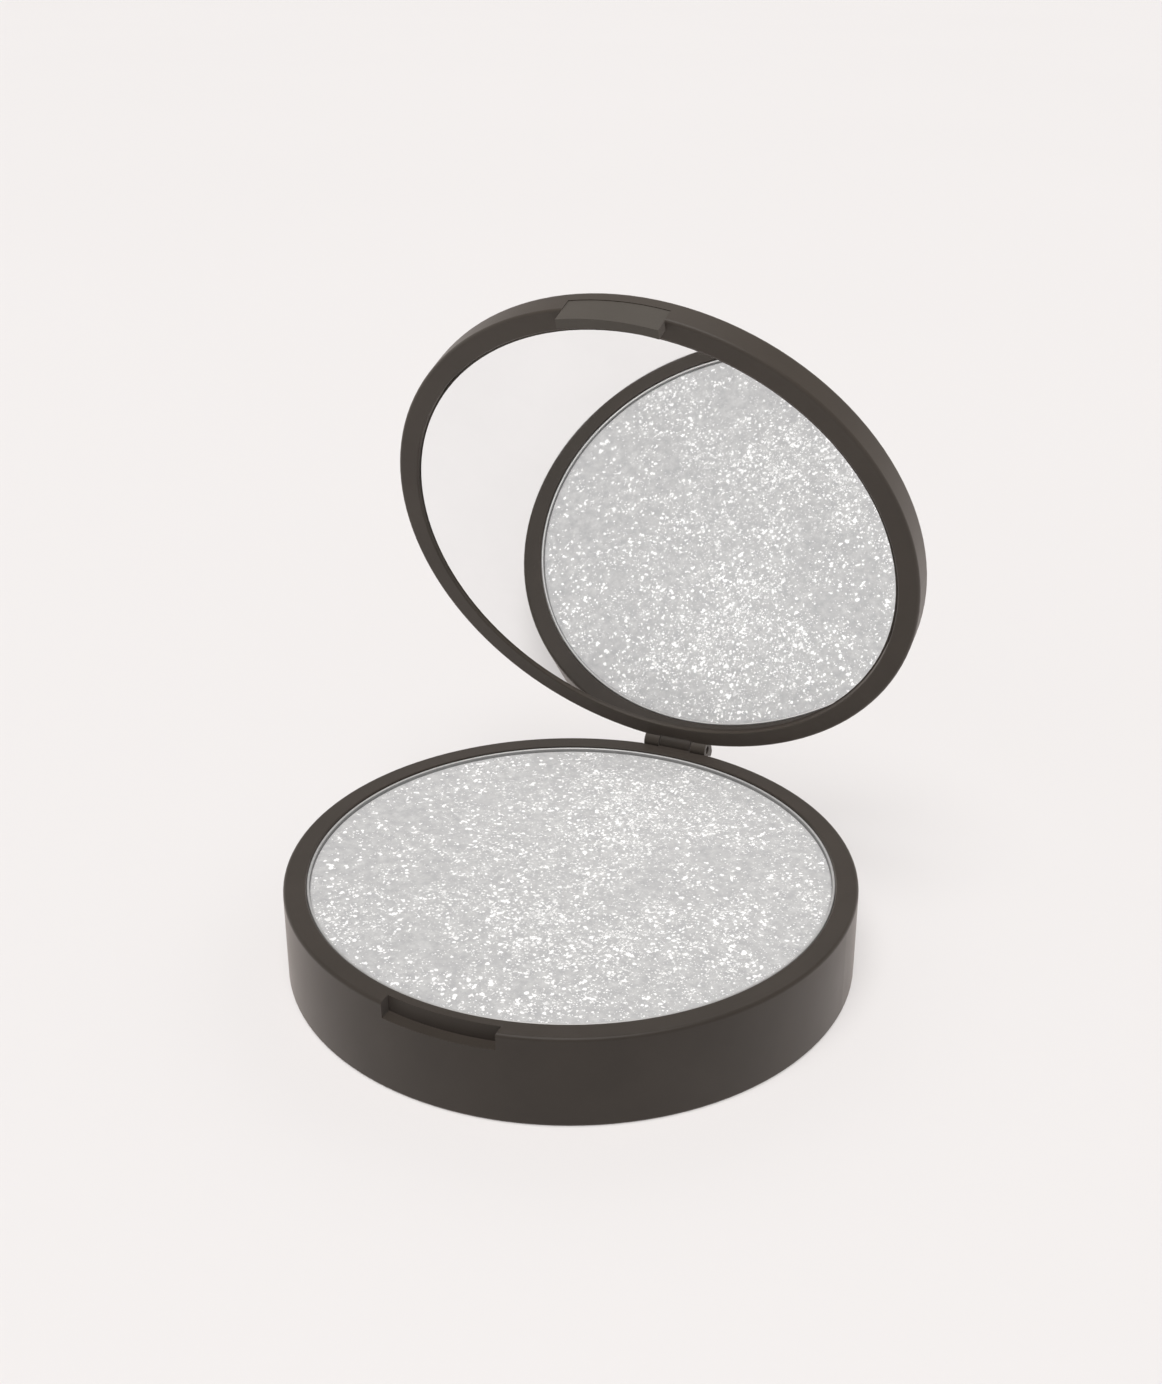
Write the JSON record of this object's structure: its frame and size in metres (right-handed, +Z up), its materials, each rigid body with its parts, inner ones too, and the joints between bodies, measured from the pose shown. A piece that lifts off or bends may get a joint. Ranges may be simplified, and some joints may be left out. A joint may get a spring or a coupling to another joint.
{
  "type": "powder compact",
  "caption": "Round pressed-powder compact with a friction-hinged mirror lid, thumb notch and latch tab, and an aluminium pan of glitter powder.",
  "frame": {"origin": "centre of the flat underside of the base", "axes": "+Z up from the table, +Y towards the hinge, -Y towards the thumb notch, hinge axis along X"},
  "size_m": [0.07, 0.0737, 0.079],
  "materials": {
    "case": "soft-touch matte, fine grain",
    "tab": "smooth satin",
    "pan": "bright satin",
    "powder": "pressed powder with white glitter flakes",
    "mirror": "polished mirror glass",
    "pin": "blackened drawn wire",
    "tape": "double-sided tape",
    "label": "blank satin paper label"
  },
  "bodies": {
    "base": {"base_shell": "case", "bottom_plate": "case", "base_label": "label", "pan_adhesive": "tape", "powder_pan": "pan", "powder_cake": "powder", "hinge_pin": "pin"},
    "lid": {"lid_shell": "case", "latch_tab": "tab", "mirror_tape": "tape", "mirror_glass": "mirror"}
  },
  "joints": [
    {"name": "lid_hinge", "type": "hinge", "parent": "base", "child": "lid", "pos_m": [0, 0.0356, 0.0116], "axis": [1, 0, 0], "range_deg": [-55, 70]}
  ]
}
